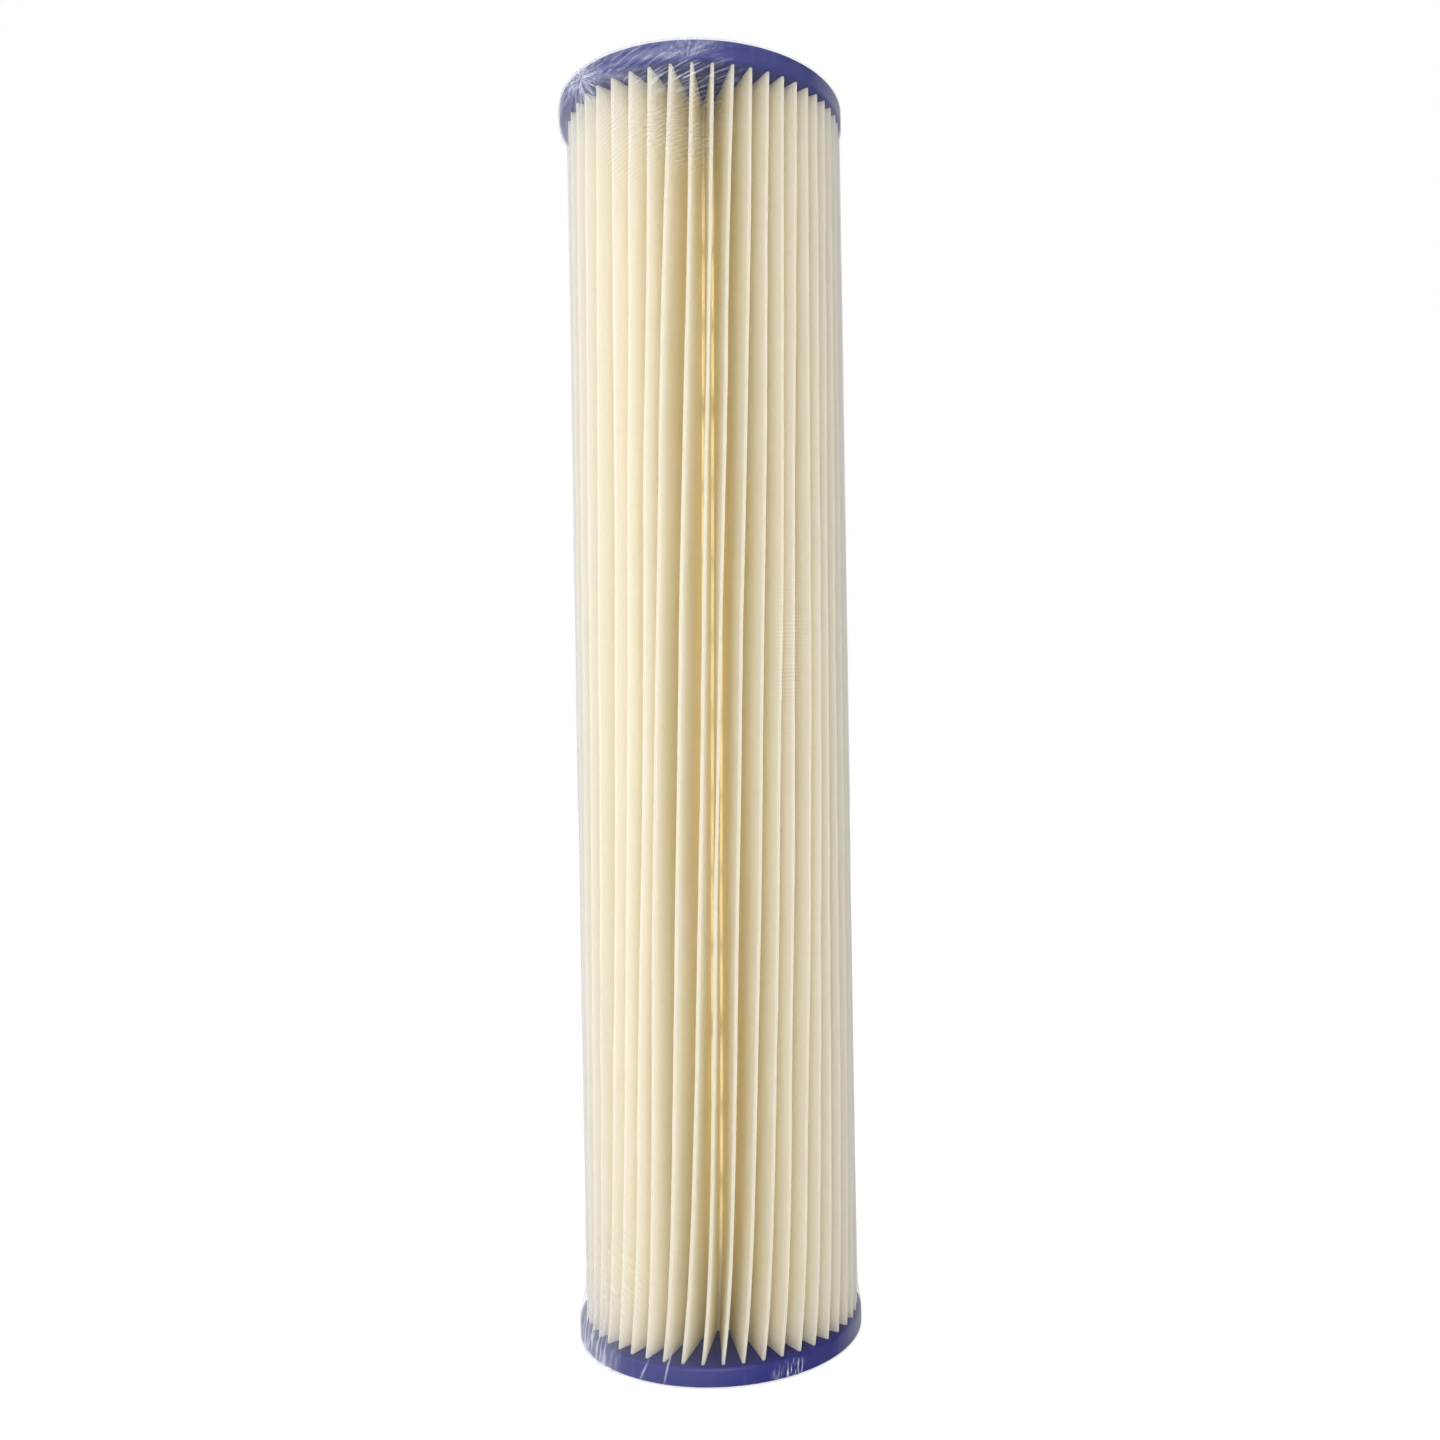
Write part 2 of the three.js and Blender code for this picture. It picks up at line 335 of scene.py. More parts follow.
def folded_strip():
    """The flat strip as a grid, folded into its ring. Also gives the strip's flat length."""
    columns = PLEATS * STEPS_PER_PLEAT
    mesh = bmesh.new()
    bmesh.ops.create_grid(mesh, x_segments=columns, y_segments=MEDIA_ROWS, size=0.5)
    depth = mesh.verts.layers.float.new("depth")
    strip = mesh.loops.layers.uv.new("strip")
    middle = (media_low.z + media_high.z) / 2
    section = [paper_point(column, middle)[0] for column in range(columns + 1)]
    length = sum((b - a).length for a, b in zip(section, section[1:]))
    for face in mesh.faces:
        for loop in face.loops:
            loop[strip].uv = ((loop.vert.co.x + 0.5) * length, (loop.vert.co.y + 0.5) * media_high.z)
    for vert in mesh.verts:
        height = media_low.z + (vert.co.y + 0.5) * (media_high.z - media_low.z)
        place, vert[depth] = paper_point(round((vert.co.x + 0.5) * columns), height)
        vert.co = (place.x + off_centre(height), place.y, height)
    ends = [vert for vert in mesh.verts if vert.is_boundary]
    bmesh.ops.remove_doubles(mesh, verts=ends, dist=SAME_PLACE)
    bmesh.ops.recalc_face_normals(mesh, faces=mesh.faces)
    return mesh, length


def polyester_paper():
    """Spunbonded polyester: a matt mat of fibres, cream, with a painted warm bounce light that grows
    towards the inner folds.
    """
    finish, tree, shader = new_finish("polyester_paper")
    strip = add(tree, "ShaderNodeUVMap", {}, uv_map="strip").outputs["UV"]
    depth = add(tree, "ShaderNodeAttribute", {}, attribute_name="depth").outputs["Fac"]
    stretched = add(tree, "ShaderNodeMapping", {"Vector": strip, "Scale": (1, 0.25, 1)}).outputs["Vector"]
    fibres = mottle(tree, stretched, scale=1800, detail=6, roughness=0.7)
    clouds = mottle(tree, strip, scale=45, detail=3)
    crest = blended(tree, clouds, srgb(251, 249, 243), srgb(249, 246, 236))
    # painted bounce light: the deep folds get a brighter, warmer cream in place of the golden light passed
    # back and forth between the leaves; it is mixed in by depth, from none at the crests to full at the
    # inner folds
    fold_painted_bounce_light = blended(tree, clouds, srgb(255, 250, 229), srgb(253, 247, 220))
    base = blended(tree, ranged(tree, depth, 0.05, 0.9, 0, 1), crest, fold_painted_bounce_light)
    colour = blended(tree, ranged(tree, fibres, 0.42, 0.62, 0, 0.12), base, srgb(226, 212, 176))
    tree.links.new(colour, shader.inputs["Base Color"])
    shader.inputs["Roughness"].default_value = 0.85
    shader.inputs["Specular IOR Level"].default_value = 0.25
    embossed(tree, shader, fibres, strength=0.5, depth=0.08 * MM)
    glow = add(tree, "ShaderNodeBsdfTranslucent", {"Color": colour})
    let_through = 0.8
    mix = add(tree, "ShaderNodeMixShader", {0: let_through, 1: shader.outputs[0], 2: glow.outputs[0]})
    tree.links.new(mix.outputs[0], tree.nodes["Material Output"].inputs["Surface"])
    return finish


strip_mesh, strip_length = folded_strip()
paper = fitted(strip_mesh, "pleated_strip", polyester_paper(), "media", "pleated_media")


# --- Seam glue ---------------------------------------------------------------------------
# A bead of pale hot-melt glue inside one pleat at the back, which joins the strip's two
# ends. It is run in from the inside before the core is pushed home, and follows the pleat.

glue_low, glue_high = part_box("media_seam_glue")
SEAM_PLEAT = 32
BEAD_INNER_RADIUS = 28.5 * MM
BEAD_OUTER_RADIUS = 41 * MM
BEAD_THICKNESS = 0.8 * MM
BEAD_RAGGED = 0.8 * MM
BEAD_ROWS = 60


def glue_bead():
    """The bead as a bare sheet, halfway between the two leaves of its pleat."""
    mesh = bmesh.new()
    bmesh.ops.create_grid(mesh, x_segments=5, y_segments=BEAD_ROWS, size=0.5)
    for vert in mesh.verts:
        height = glue_low.z + (vert.co.y + 0.5) * (glue_high.z - glue_low.z)
        ragged = BEAD_RAGGED * drifting(vert.co.x * 2, height, 9 * MM, seed=23)
        radius = BEAD_INNER_RADIUS + (vert.co.x + 0.5) * (BEAD_OUTER_RADIUS - BEAD_INNER_RADIUS) + ragged
        share = (CREST_RADIUS - radius) / (CREST_RADIUS - INNER_FOLD_RADIUS)
        crest_at = crest_angle(SEAM_PLEAT, height)
        beside = (crest_angle(SEAM_PLEAT - 1, height) + crest_angle(SEAM_PLEAT + 1, height)) / 2
        place = turned(radius, crest_at + (beside - crest_at) / 2 * share, 0)
        vert.co = (place.x + off_centre(height), place.y, height)
    return mesh


def hot_melt():
    """Hot-melt glue: honey-white, smooth and a little glossy."""
    finish, tree, shader = new_finish("hot_melt")
    place = tree.nodes.new("ShaderNodeTexCoord").outputs["Object"]
    clouds = mottle(tree, place, scale=150)
    honey = blended(tree, clouds, srgb(232, 222, 186), srgb(214, 198, 150))
    tree.links.new(honey, shader.inputs["Base Color"])
    tree.links.new(ranged(tree, clouds, 0.3, 0.7, 0.22, 0.4), shader.inputs["Roughness"])
    embossed(tree, shader, clouds, strength=0.3, depth=0.2 * MM)
    return finish


bead = fitted(glue_bead(), "seam_bead", hot_melt(), "glue", "media_seam_glue")
body = bead.modifiers.new("bead_thickness", "SOLIDIFY")
body.thickness = BEAD_THICKNESS
body.offset = 0


# --- End caps ----------------------------------------------------------------------------
# Two soft vinyl rings, cast in open moulds round the ends of the pleats and the core. The
# seal face stands proud of a set-back margin, with one shallow ring groove in it.

bottom_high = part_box("bottom_end_cap")[1]
top_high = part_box("top_end_cap")[1]
CAP_RADIUS = bottom_high.x
CAP_HEIGHT = bottom_high.z
CAP_STEPS = 192
BORE_RADIUS = 14.25 * MM
MARGIN_RADIUS = 46 * MM
MARGIN_STEP = 0.9 * MM
GROOVE_RADIUS = 32 * MM
GROOVE_HALF_WIDTH = 1.5 * MM
GROOVE_DEPTH = 0.6 * MM
MENISCUS = 0.6 * MM
RIM_ROUNDING = 1.4 * MM
HEEL_ROUNDING = 0.8 * MM
SMALL_ROUNDING = 0.3 * MM


def cast_cap():
    """One cap, as it stands at the bottom end."""
    rim = CAP_RADIUS, CAP_HEIGHT
    heel = CAP_RADIUS, MARGIN_STEP
    outline = [
        (BORE_RADIUS, 0),
        (GROOVE_RADIUS - GROOVE_HALF_WIDTH, 0),
        (GROOVE_RADIUS - GROOVE_HALF_WIDTH + GROOVE_DEPTH, GROOVE_DEPTH),
        (GROOVE_RADIUS + GROOVE_HALF_WIDTH - GROOVE_DEPTH, GROOVE_DEPTH),
        (GROOVE_RADIUS + GROOVE_HALF_WIDTH, 0),
        (MARGIN_RADIUS, 0),
        (MARGIN_RADIUS + MARGIN_STEP, MARGIN_STEP),
        heel,
        rim,
        (CORE_RADIUS + 2 * MENISCUS, CAP_HEIGHT),
        (CORE_RADIUS, CAP_HEIGHT + MENISCUS),
        (CORE_RADIUS, CAP_HEIGHT - MENISCUS),
        (CORE_BORE_RADIUS, CAP_HEIGHT - MENISCUS),
        (CORE_BORE_RADIUS, CAP_HEIGHT + MENISCUS),
        (CORE_BORE_RADIUS - 2 * MENISCUS, CAP_HEIGHT),
        (BORE_RADIUS, CAP_HEIGHT),
    ]
    mesh = spun(outline, CAP_STEPS)
    rounded(mesh, [rim], RIM_ROUNDING)
    rounded(mesh, [heel], HEEL_ROUNDING)
    rounded(mesh, [corner for corner in outline if corner not in (rim, heel)], SMALL_ROUNDING)
    return mesh


def rounded(mesh, corners, size):
    """Bevels the rings of edges that run through these corners of the outline."""
    def at(vert, radius, height):
        aside = math.hypot(vert.co.x, vert.co.y) - radius
        return abs(aside) < SAME_PLACE and abs(vert.co.z - height) < SAME_PLACE

    def on_corner(edge):
        return any(all(at(vert, *corner) for vert in edge.verts) for corner in corners)

    bmesh.ops.bevel(mesh, geom=[edge for edge in mesh.edges if on_corner(edge)], offset=size,
                    offset_type="OFFSET", segments=4, profile=0.5, affect="EDGES", material=-1,
                    clamp_overlap=True)


def cast_vinyl():
    """Plasticised vinyl: deep blue, satin, slightly uneven where it cooled in the mould."""
    finish, tree, shader = new_finish("cast_vinyl")
    place = tree.nodes.new("ShaderNodeTexCoord").outputs["Object"]
    clouds = mottle(tree, place, scale=35, detail=3)
    skin = mottle(tree, place, scale=700, detail=3)
    base = blended(tree, clouds, srgb(26, 31, 102), srgb(33, 38, 114))
    tree.links.new(blended(tree, ranged(tree, skin, 0.55, 0.75, 0, 0.25), base, srgb(46, 51, 126)),
                   shader.inputs["Base Color"])
    tree.links.new(ranged(tree, skin, 0.3, 0.7, 0.36, 0.5), shader.inputs["Roughness"])
    shader.inputs["Specular IOR Level"].default_value = 0.35
    embossed(tree, shader, skin, strength=0.25, depth=0.06 * MM)
    return finish


blue_vinyl = cast_vinyl()
fitted(cast_cap(), "bottom_cap", blue_vinyl, "vinyl", "bottom_end_cap")
turned_over = cast_cap()
half_turn = Matrix.Rotation(math.pi, 3, "X")
bmesh.ops.rotate(turned_over, verts=turned_over.verts, cent=(0, 0, 0), matrix=half_turn)
bmesh.ops.translate(turned_over, verts=turned_over.verts, vec=(0, 0, top_high.z))
fitted(turned_over, "top_cap", blue_vinyl, "vinyl", "top_end_cap")


# --- Shrink film -------------------------------------------------------------------------
# A clear polyolefin sleeve, shrunk on with hot air. It lies on the crests, bridges out to
# both caps and turns in over their margins, where it stays open. It gathers in a dog-ear at
# the upper left, with fine stretch lines beside it, and in folds at the lower left.

film_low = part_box("shrink_film")[0]
FILM_STEPS = 480
FILM_OVER_CAP = CAP_RADIUS + 0.25 * MM
FILM_OVER_PLEATS = 55.95 * MM
FILM_OPENING = 48.7 * MM
FILM_FACE = 0.45 * MM
FILM_CORNER = 1 * MM
FILM_TOP_CORNER = top_high.z - FILM_FACE - FILM_CORNER
LOWER_BRIDGE = 15 * MM
UPPER_BRIDGE = 7 * MM
BRIDGE_CURVE = 1.6
FINE_SPACING = 0.8 * MM
MIDDLE_SPACING = 1.5 * MM
MIDDLE_SPACING_ENDS = 60 * MM
COARSE_SPACING = 5 * MM
# How far the film sags between crests, waves, stands up in its gathers, and is lifted off
# the top margin.
FILM_SAG = 0.16 * MM
FILM_SLACK = 0.12 * MM
EAR_HEIGHT = 0.7 * MM
FOLD_HEIGHT = 0.8 * MM
PUCKER_HEIGHT = 0.14 * MM
FLATTER_OVER_TOP = 0.2
FILM_RAISED = 0.25 * MM
FILM_RAISED_OVER = 8 * MM
FILM_HIGHEST = top_high.z + 1 * MM
# How far folds and puckers whiten the film, where the dog-ear's gathers whiten it fully: partly the film's
# own whitening where it is creased, partly painted glints.
FOLD_WHITENS = 0.8
PUCKER_WHITENS = 0.25
# The dog-ear, the trail that runs out of it, the smaller spray beside it and the folds below.
EDGE_COUNTS_ABOVE = 480 * MM
DOG_EAR_ANGLE = -142
DOG_EAR_HEIGHT = 495 * MM
TRAIL_ABOVE = 0.7
TRAIL_BELOW = 0.25
TRAIL_PARTS_AT = -3 * MM
SPRAY_ANGLE = -95
SPRAY_HEIGHT = 492.8 * MM
FOLDS_ANGLE = -150
FOLDS_SPREAD = 17
FOLDS_LEVEL = 12 * MM
FOLDS_FADE_OVER = 30 * MM


def spaced(start, end, spacing):
    """Values from start up to, but not including, end, about that far apart."""
    count = max(1, round(abs(end - start) / spacing))
    return [start + (end - start) * i / count for i in range(count)]


def half_outline(bridge_length):
    """The film's outline from the lip under a cap to mid-height."""
    corner = FILM_OVER_CAP - FILM_CORNER
    lip = [(radius, FILM_FACE) for radius in spaced(FILM_OPENING, corner, FINE_SPACING)]
    turn = [(corner + FILM_CORNER * math.sin(a), FILM_FACE + FILM_CORNER * (1 - math.cos(a)))
            for a in spaced(0, math.pi / 2, math.pi / 8)]
    band = [(FILM_OVER_CAP, z) for z in spaced(FILM_FACE + FILM_CORNER, CAP_HEIGHT, FINE_SPACING)]
    bridge = []
    for z in spaced(CAP_HEIGHT, CAP_HEIGHT + bridge_length, FINE_SPACING):
        share = (z - CAP_HEIGHT) / bridge_length
        inward = 1 - (1 - share) ** BRIDGE_CURVE
        bridge.append((FILM_OVER_CAP + (FILM_OVER_PLEATS - FILM_OVER_CAP) * inward, z))
    levels = spaced(CAP_HEIGHT + bridge_length, MIDDLE_SPACING_ENDS, MIDDLE_SPACING)
    levels += spaced(MIDDLE_SPACING_ENDS, top_high.z / 2, COARSE_SPACING)
    body = [(FILM_OVER_PLEATS, z) for z in levels]
    return lip + turn + band + bridge + body


def even_place(angle, height):
    """The evenly spaced place that has swung to an angle at a height: leaning() turned round."""
    place = angle
    for _ in range(4):
        place += angle - leaning(place, height)
    return place


def ridge(x, y, seed):
    """Narrow crooked ridges, from 0 between them to 1 along them."""
    return max(0, 1 - 3.2 * abs(noise.noise(Vector((x, y, seed))))) ** 2


def fan(angle, rise, centre_angle, spread, reach, seed):
    """Folds that run out from a gathered point, fading with distance."""
    across = math.radians(math.remainder(angle - centre_angle, 360)) * FILM_OVER_CAP
    far = math.hypot(across, rise)
    heading = math.atan2(rise, across)
    return ridge(heading * spread, far / (45 * MM), seed) * math.exp(-(far / reach) ** 2)


def creases(angle, height, radius):
    """How strongly the film is gathered or stretched at a place, from 0 to about 1."""
    over_edge = max(0, FILM_OVER_CAP - FILM_CORNER - radius) if height > EDGE_COUNTS_ABOVE else 0
    rise = height - DOG_EAR_HEIGHT + over_edge
    knot = fan(angle, rise, DOG_EAR_ANGLE, spread=9, reach=26 * MM, seed=2)
    trail = fan(angle, rise, DOG_EAR_ANGLE, spread=14, reach=60 * MM, seed=5)
    trail *= TRAIL_ABOVE if rise > TRAIL_PARTS_AT else TRAIL_BELOW
    spray_rise = height - SPRAY_HEIGHT + over_edge
    spray = fan(angle, spray_rise, SPRAY_ANGLE, spread=8, reach=15 * MM, seed=8)
    spray *= 1 if height > SPRAY_HEIGHT else 0
    low = math.exp(-(max(0, height - FOLDS_LEVEL) / FOLDS_FADE_OVER) ** 2)
    beside = math.exp(-(math.remainder(angle - FOLDS_ANGLE, 360) / FOLDS_SPREAD) ** 2)
    bend = (height / (60 * MM)) ** 2
    gathers = ridge(math.radians(angle) * 16 + bend, height / (50 * MM), seed=12) * low * beside
    return min(1, knot + trail + spray), gathers


def pucker(angle, height, radius):
    """Small upright gathers where the film shrinks over the edge of a cap."""
    nearness = max(0, 1 - min(height, top_high.z - height) / (CAP_HEIGHT + UPPER_BRIDGE))
    fine = drifting(math.radians(angle) * 34, radius, 18 * MM, seed=31)
    return fine * nearness ** 1.5


def film_sleeve():
    """The spun sleeve, laid on the crests and gathered, with its creases in an attribute."""
    lower = half_outline(LOWER_BRIDGE)
    upper = [(radius, top_high.z - height) for radius, height in reversed(half_outline(UPPER_BRIDGE))]
    mesh = spun(lower + upper, FILM_STEPS, closed=False)
    outward = sum(face.normal.dot(Vector((*face.calc_center_median().xy, 0))) for face in mesh.faces)
    if outward < 0:
        bmesh.ops.reverse_faces(mesh, faces=mesh.faces)
    mesh.normal_update()
    crease = mesh.verts.layers.float.new("crease")
    wrap = mesh.loops.layers.uv.new("wrap")
    for face in mesh.faces:
        back = face.calc_center_median()
        about = math.atan2(back.x, -back.y)
        for loop in face.loops:
            turn = about + math.remainder(math.atan2(loop.vert.co.x, -loop.vert.co.y) - about, 2 * math.pi)
            loop[wrap].uv = (turn * FILM_OVER_PLEATS, loop.vert.co.z)
    moves = []
    for vert in mesh.verts:
        radius = math.hypot(vert.co.x, vert.co.y)
        angle = math.degrees(math.atan2(vert.co.y, vert.co.x))
        height = vert.co.z
        gathered, folds = creases(angle, height, radius)
        over_pleats = min(1, max(0, (height - CAP_HEIGHT) / LOWER_BRIDGE),
                          max(0, (top_high.z - height - CAP_HEIGHT) / UPPER_BRIDGE))
        phase = (even_place(angle, height) - FIRST_CREST) / PITCH % 1
        sag = -FILM_SAG * 4 * phase * (1 - phase) * over_pleats
        slack = FILM_SLACK * drifting(math.radians(angle) * 3, height, 60 * MM, seed=41) * over_pleats
        puckered = pucker(angle, height, radius)
        ears = EAR_HEIGHT * gathered + FOLD_HEIGHT * folds + PUCKER_HEIGHT * puckered
        ears *= FLATTER_OVER_TOP if height > FILM_TOP_CORNER else 1
        # the crease attribute whitens the film in its shader: partly its own whitening, partly painted
        # glints
        vert[crease] = min(1, gathered + FOLD_WHITENS * folds + PUCKER_WHITENS * max(0, puckered))
        aside = Vector((off_centre(height) * over_pleats, 0, 0))
        moves.append(vert.normal * (sag + slack + ears) + aside)
    for vert, move in zip(mesh.verts, moves):
        vert.co += move
        past_margin = math.hypot(vert.co.x, vert.co.y) - MARGIN_RADIUS
        loose = min(1, max(0, past_margin / FILM_RAISED_OVER))
        raised = FILM_RAISED * loose if vert.co.z > FILM_TOP_CORNER else 0
        vert.co.z = min(max(vert.co.z, film_low.z / 2), FILM_HIGHEST) + raised
    return mesh


def maths(tree, operation, first, second=0.0, **settings):
    """One sum on two values."""
    return add(tree, "ShaderNodeMath", {0: first, 1: second}, operation=operation, **settings).outputs[0]


def laid(tree, where, centre, size, slope):
    """Coordinates laid out afresh from a centre, in steps of a size, along a slope in degrees."""
    settings = {"Vector": where, "Location": (*centre, 0), "Scale": (*size, 1),
                "Rotation": (0, 0, math.radians(slope))}
    return add(tree, "ShaderNodeMapping", settings, vector_type="TEXTURE").outputs["Vector"]


def patch(tree, where, centre, size, slope=0):
    """1 at a centre, falling to 0 at the edge of an oval of these half-sizes, turned by a slope."""
    return add(tree, "ShaderNodeTexGradient", {"Vector": laid(tree, where, centre, size, slope)},
               gradient_type="SPHERICAL").outputs["Fac"]


def streaks(tree, where, slope, length, spacing):
    """Fine pale lines at a slope in degrees, of about that length and spacing."""
    drawn = laid(tree, where, (0, 0), (length, spacing), slope)
    return ranged(tree, mottle(tree, drawn, scale=1, detail=1.5), 0.5, 0.68, 0, 1)


def stretch_lines(tree, where, slope, spacing):
    """Evenly spaced fine lines at a slope in degrees, which come and go."""
    drawn = laid(tree, where, (0, 0), (spacing, spacing), slope)
    waves = add(tree, "ShaderNodeTexWave", {"Vector": drawn, "Scale": math.pi / 10, "Distortion": 3.0,
                                            "Detail": 2.0, "Detail Scale": 0.8},
                bands_direction="Y").outputs["Fac"]
    there = ranged(tree, mottle(tree, drawn, scale=0.12, detail=1), 0.42, 0.6, 0.25, 1)
    return maths(tree, "MULTIPLY", ranged(tree, waves, 0.7, 1, 0, 1), there)


def spray_lines(tree, where, centre, reach, lines):
    """Pale lines that run out of a point and fade with distance; lines is how many a radian."""
    moved = laid(tree, where, centre, (reach, reach), 0)
    part = add(tree, "ShaderNodeSeparateXYZ", {"Vector": moved}).outputs
    heading = maths(tree, "MULTIPLY", maths(tree, "ARCTAN2", part["Y"], part["X"]), lines)
    far = add(tree, "ShaderNodeVectorMath", {"Vector": moved}, operation="LENGTH").outputs["Value"]
    place = add(tree, "ShaderNodeCombineXYZ", {"X": heading, "Y": far}).outputs["Vector"]
    drawn = ranged(tree, mottle(tree, place, scale=1, detail=2), 0.48, 0.66, 0, 1)
    return maths(tree, "MULTIPLY", drawn, ranged(tree, far, 0.15, 1, 1, 0))


def clear_film():
    """Clear shrink film: glossy and faintly hazy, milkier at the left by a painted sheen, thinner at the
    lower right by painted shade, whiter along its creases and marks (partly its own whitening, partly
    painted glints), and grey along its combed lines as painted shade.
    """
    finish, tree, shader = new_finish("clear_film")
    wrap = add(tree, "ShaderNodeUVMap", {}, uv_map="wrap").outputs["UV"]
    crease = add(tree, "ShaderNodeAttribute", {}, attribute_name="crease").outputs["Fac"]
    facing = add(tree, "ShaderNodeLayerWeight", {"Blend": 0.35}).outputs["Facing"]
    around = add(tree, "ShaderNodeSeparateXYZ", {"Vector": wrap}).outputs["X"]
    # the creases and the marks below whiten the film: partly its own whitening where it is creased,
    # gathered and scored, partly painted glints where these would catch the light
    lines = maths(tree, "MULTIPLY", crease, 0.2)
    # what is drawn; the oval it keeps to, as a centre and half-sizes on the wrap; its strength
    marks = [
        # the knot of the dog-ear, with the fan beside it and a smaller fan beside that
        (spray_lines(tree, wrap, (-0.0505, 0.495), 0.013, 9), None, 0.7),
        (spray_lines(tree, wrap, (-0.0048, 0.4925), 0.0095, 9), (0, 0.4985, 0.035, 0.0064), 0.36),
        (spray_lines(tree, wrap, (0.0034, 0.4928), 0.007, 5), (0.003, 0.498, 0.02, 0.0058), 0.32),
        # the long folds between them, and the taut lines below
        (stretch_lines(tree, wrap, 26, 0.0027), (-0.028, 0.4965, 0.028, 0.007), 0.2),
        (streaks(tree, wrap, 21, 0.009, 0.0009), (-0.010, 0.487, 0.030, 0.010), 0.4),
        # the gathers at the lower left, and the glints at the lower right
        (streaks(tree, wrap, -35, 0.012, 0.0014), (-0.046, 0.034, 0.022, 0.024), 0.25),
        (streaks(tree, wrap, 78, 0.016, 0.0016), (-0.060, 0.004, 0.022, 0.024), 0.6),
        (streaks(tree, wrap, 86, 0.007, 0.0009), (0.026, 0.0035, 0.009, 0.005), 1.0),
    ]
    for drawn, within, strength in marks:
        if within:
            drawn = maths(tree, "MULTIPLY", drawn, patch(tree, wrap, within[:2], within[2:]))
        lines = maths(tree, "ADD", lines, maths(tree, "MULTIPLY", drawn, strength))
    # two slanted scores over the bottom cap, and the milky gather to their left
    for centre, size, slope, strength in (
        ((-0.0300, 0.0050), (0.006, 0.0005), 64, 0.45),
        ((-0.0203, 0.0078), (0.009, 0.0005), 77, 0.45),
        ((-0.0630, 0.0080), (0.024, 0.0240), 0, 0.16),
    ):
        score = maths(tree, "MULTIPLY", patch(tree, wrap, centre, size, slope), strength)
        lines = maths(tree, "ADD", lines, score)
    # combed lines where the film is pulled tight over the crests, at the upper left and at mid-right,
    # drawn as painted shade: grey lines that darken the paper under them
    combed = maths(tree, "MULTIPLY", stretch_lines(tree, wrap, 20, 0.0017),
                   patch(tree, wrap, (-0.019, 0.470), (0.034, 0.026)))
    faint = maths(tree, "MULTIPLY", stretch_lines(tree, wrap, 3, 0.0015),
                  patch(tree, wrap, (0.031, 0.274), (0.010, 0.04)))
    combed = maths(tree, "ADD", combed, maths(tree, "MULTIPLY", faint, 0.4), use_clamp=True)
    lines = maths(tree, "ADD", lines, maths(tree, "MULTIPLY", combed, 0.36))
    # random milkiness, with a painted sheen that makes the film whiter towards the left and painted shade
    # that thins it at the lower right, where the cap shows darkest
    haze_and_painted_side_light = maths(tree, "ADD", ranged(tree, mottle(tree, wrap, scale=40, detail=3), 0.35, 0.7, 0, 0.015),
                 ranged(tree, around, -0.07, 0.03, 0.042, 0.015))
    # painted shade at the lower right: the film is thinned there so the cap shows darker
    painted_shade_lower_right = maths(tree, "MULTIPLY", patch(tree, wrap, (0.035, 0), (0.055, 0.03)), 0.03)
    haze_and_painted_side_light = maths(tree, "SUBTRACT", haze_and_painted_side_light, painted_shade_lower_right, use_clamp=True)
    edge = ranged(tree, facing, 0.35, 1, 0, 0.5)
    cover = maths(tree, "ADD", maths(tree, "ADD", haze_and_painted_side_light, edge), lines, use_clamp=True)
    # painted shade: the film's colour turns grey along the combed lines, so they show darker than the
    # paper
    film_white_and_painted_line_shade = blended(tree, combed, srgb(232, 236, 250), srgb(150, 150, 160))
    tree.links.new(film_white_and_painted_line_shade, shader.inputs["Base Color"])
    shader.inputs["Roughness"].default_value = 0.14
    ripple = maths(tree, "MULTIPLY", mottle(tree, wrap, scale=260, detail=2), 0.4)
    embossed(tree, shader, maths(tree, "ADD", ripple, lines), strength=0.3, depth=0.08 * MM)
    clear = tree.nodes.new("ShaderNodeBsdfTransparent")
    mix = add(tree, "ShaderNodeMixShader", {0: cover, 1: clear.outputs[0], 2: shader.outputs[0]})
    tree.links.new(mix.outputs[0], tree.nodes["Material Output"].inputs["Surface"])
    return finish


sleeve = fitted(film_sleeve(), "film_sleeve", clear_film(), "film", "shrink_film")


# --- Studio ------------------------------------------------------------------------------
# A white floor under even white light, with a large soft light in front, a weaker one at the
# left and a faint warm lamp inside the core. The camera is close, a little under the middle.

FLOOR_SIZE = 12
MIDDLE = (0, 0, 0.25)


def studio_floor():
    """A plain white sheet just under the cartridge, which looks as white as the room behind it."""
    mesh = bmesh.new()
    bmesh.ops.create_grid(mesh, x_segments=1, y_segments=1, size=FLOOR_SIZE / 2)
    bmesh.ops.translate(mesh, verts=mesh.verts, vec=(0, 0, -0.1 * MM))
    data = bpy.data.meshes.new("studio_floor")
    mesh.to_mesh(data)
    mesh.free()
    floor = bpy.data.objects.new("studio_floor", data)
    bpy.context.scene.collection.objects.link(floor)
    finish, tree, shader = new_finish("white_sweep")
    shader.inputs["Base Color"].default_value = (0.92, 0.92, 0.92, 1)
    shader.inputs["Roughness"].default_value = 0.9
    shader.inputs["Emission Color"].default_value = (1, 1, 1, 1)
    seen = add(tree, "ShaderNodeLightPath", {}).outputs["Is Camera Ray"]
    tree.links.new(ranged(tree, seen, 0, 1, 0, 0.7), shader.inputs["Emission Strength"])
    data.materials.append(finish)


def soft_light(name, place, towards, size, power):
    """A square area light, aimed at a point."""
    lamp = bpy.data.lights.new(name, "AREA")
    lamp.size = size
    lamp.energy = power
    light = bpy.data.objects.new(name, lamp)
    light.location = place
    light.rotation_euler = (Vector(towards) - Vector(place)).to_track_quat("-Z", "Y").to_euler()
    bpy.context.scene.collection.objects.link(light)


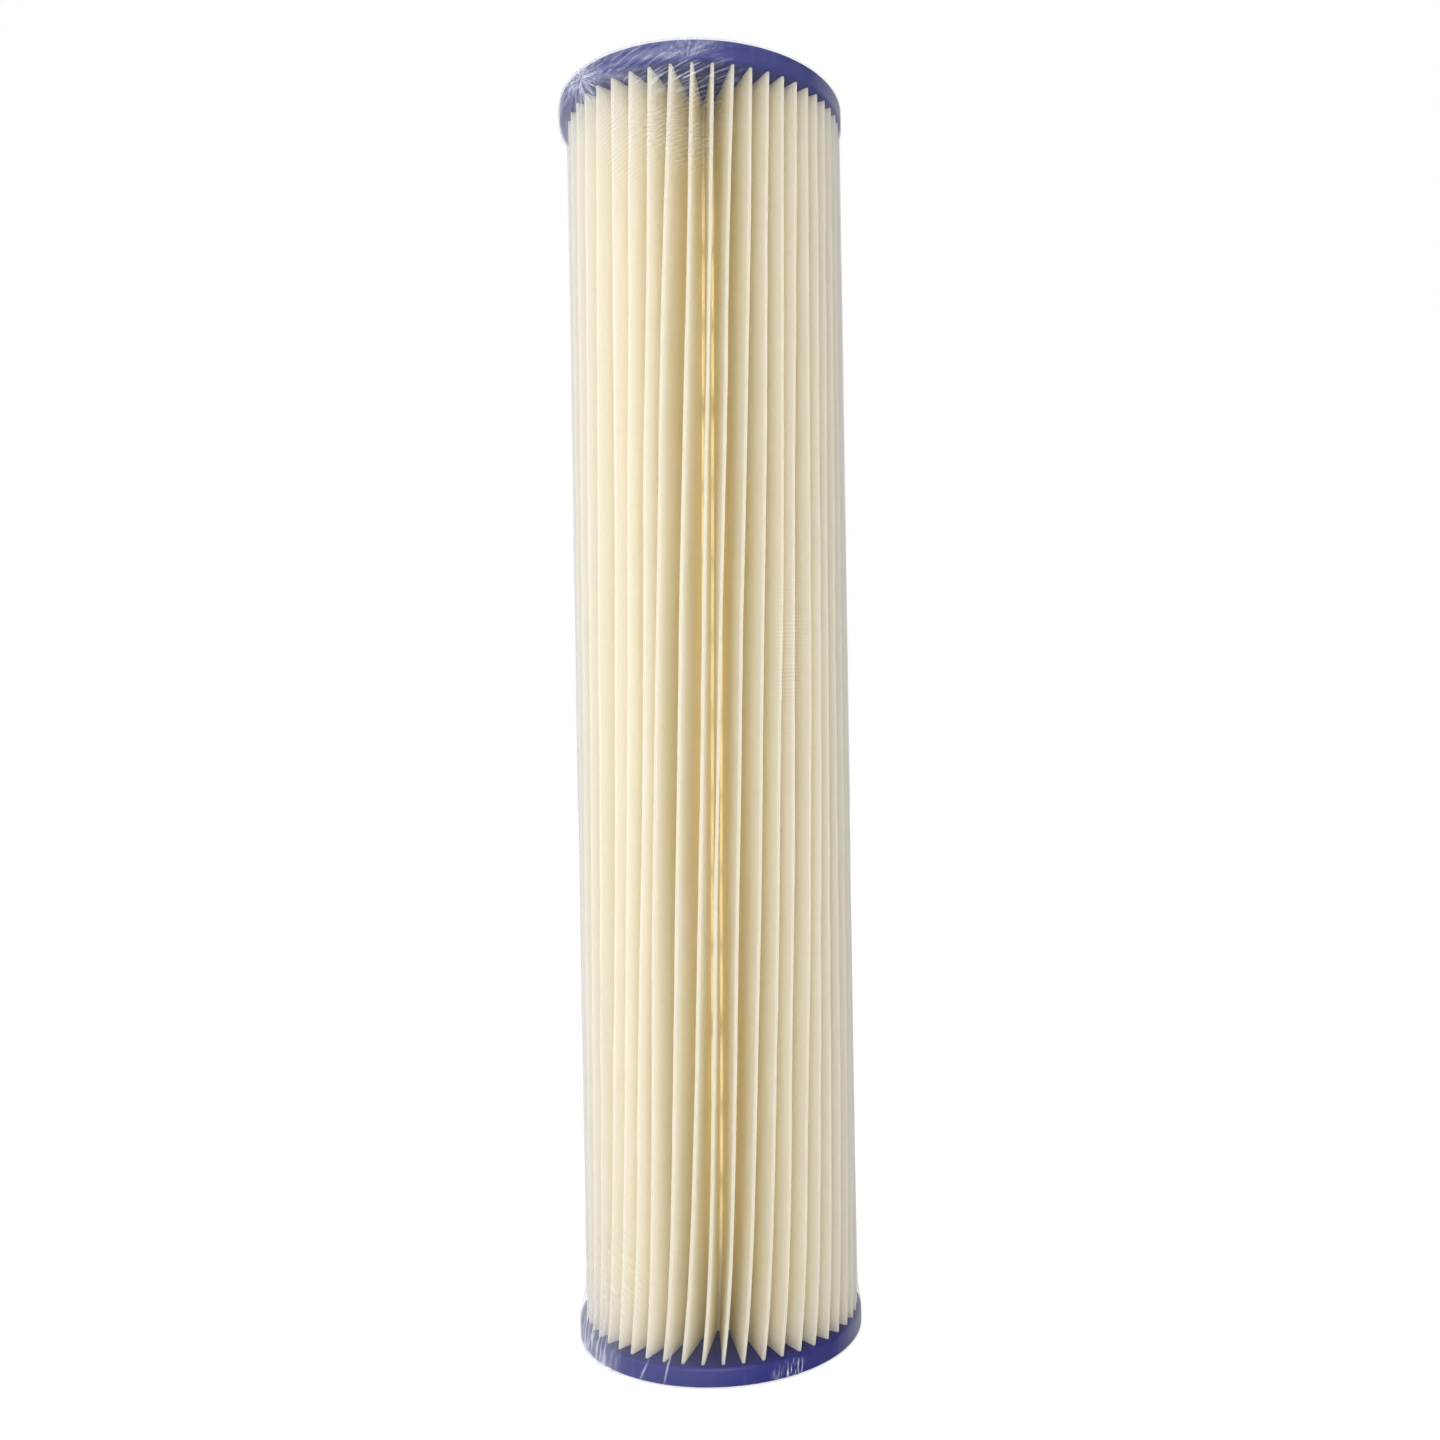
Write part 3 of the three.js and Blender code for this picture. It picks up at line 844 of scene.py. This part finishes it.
def light_in_the_core():
    """A lamp for the paper alone: the warm light that it scatters deep between its pleats."""
    lit = bpy.data.collections.new("lit_paper")
    lit.objects.link(paper)
    lamp = bpy.data.lights.new("core_light", "AREA")
    lamp.shape = "RECTANGLE"
    lamp.size = 1.2 * CORE_RADIUS
    lamp.size_y = 0.42
    lamp.energy = 0.065
    lamp.color = (1, 0.82, 0.5)
    light = bpy.data.objects.new("core_light", lamp)
    light.location = MIDDLE
    light.rotation_euler = Vector((0, -1, 0)).to_track_quat("-Z", "Y").to_euler()
    light.visible_camera = False
    light.light_linking.receiver_collection = lit
    light.light_linking.blocker_collection = lit
    bpy.context.scene.collection.objects.link(light)


def white_room():
    """A world that is white to look at and somewhat dimmer as a light."""
    world = bpy.data.worlds.new("white_room")
    world.use_nodes = True
    tree = world.node_tree
    seen = add(tree, "ShaderNodeLightPath", {}).outputs["Is Camera Ray"]
    background = tree.nodes["Background"]
    background.inputs["Color"].default_value = (1, 1, 1, 1)
    tree.links.new(ranged(tree, seen, 0, 1, 0.56, 1), background.inputs["Strength"])
    bpy.context.scene.world = world


def close_camera():
    """The camera: 0.53 m in front, level, turned and rolled a little, as it was held."""
    place = (0, -0.5337, 0.2317)
    yaw = 0.0675
    roll = 0.0174
    level = Vector((math.cos(yaw), -math.sin(yaw), 0))
    ahead = Vector((math.sin(yaw), math.cos(yaw), 0))
    right = level - roll * Vector((0, 0, 1))
    right.normalize()
    above = right.cross(ahead)
    lens = bpy.data.cameras.new("close_camera")
    lens.lens = 32.18
    lens.sensor_width = 36
    lens.shift_x = -0.0551
    lens.shift_y = 0.0287
    lens.clip_start = 0.01
    camera = bpy.data.objects.new("close_camera", lens)
    turn = Matrix((right, above, -ahead)).transposed()
    camera.matrix_world = Matrix.Translation(place) @ turn.to_4x4()
    bpy.context.scene.collection.objects.link(camera)
    bpy.context.scene.camera = camera


studio_floor()
soft_light("front_light", (-0.15, -1.25, 0.35), MIDDLE, size=0.9, power=13)
soft_light("left_light", (-1.15, -0.2, 0.4), MIDDLE, size=1, power=5.2)
light_in_the_core()
white_room()
close_camera()
bpy.context.scene.view_settings.view_transform = "Standard"
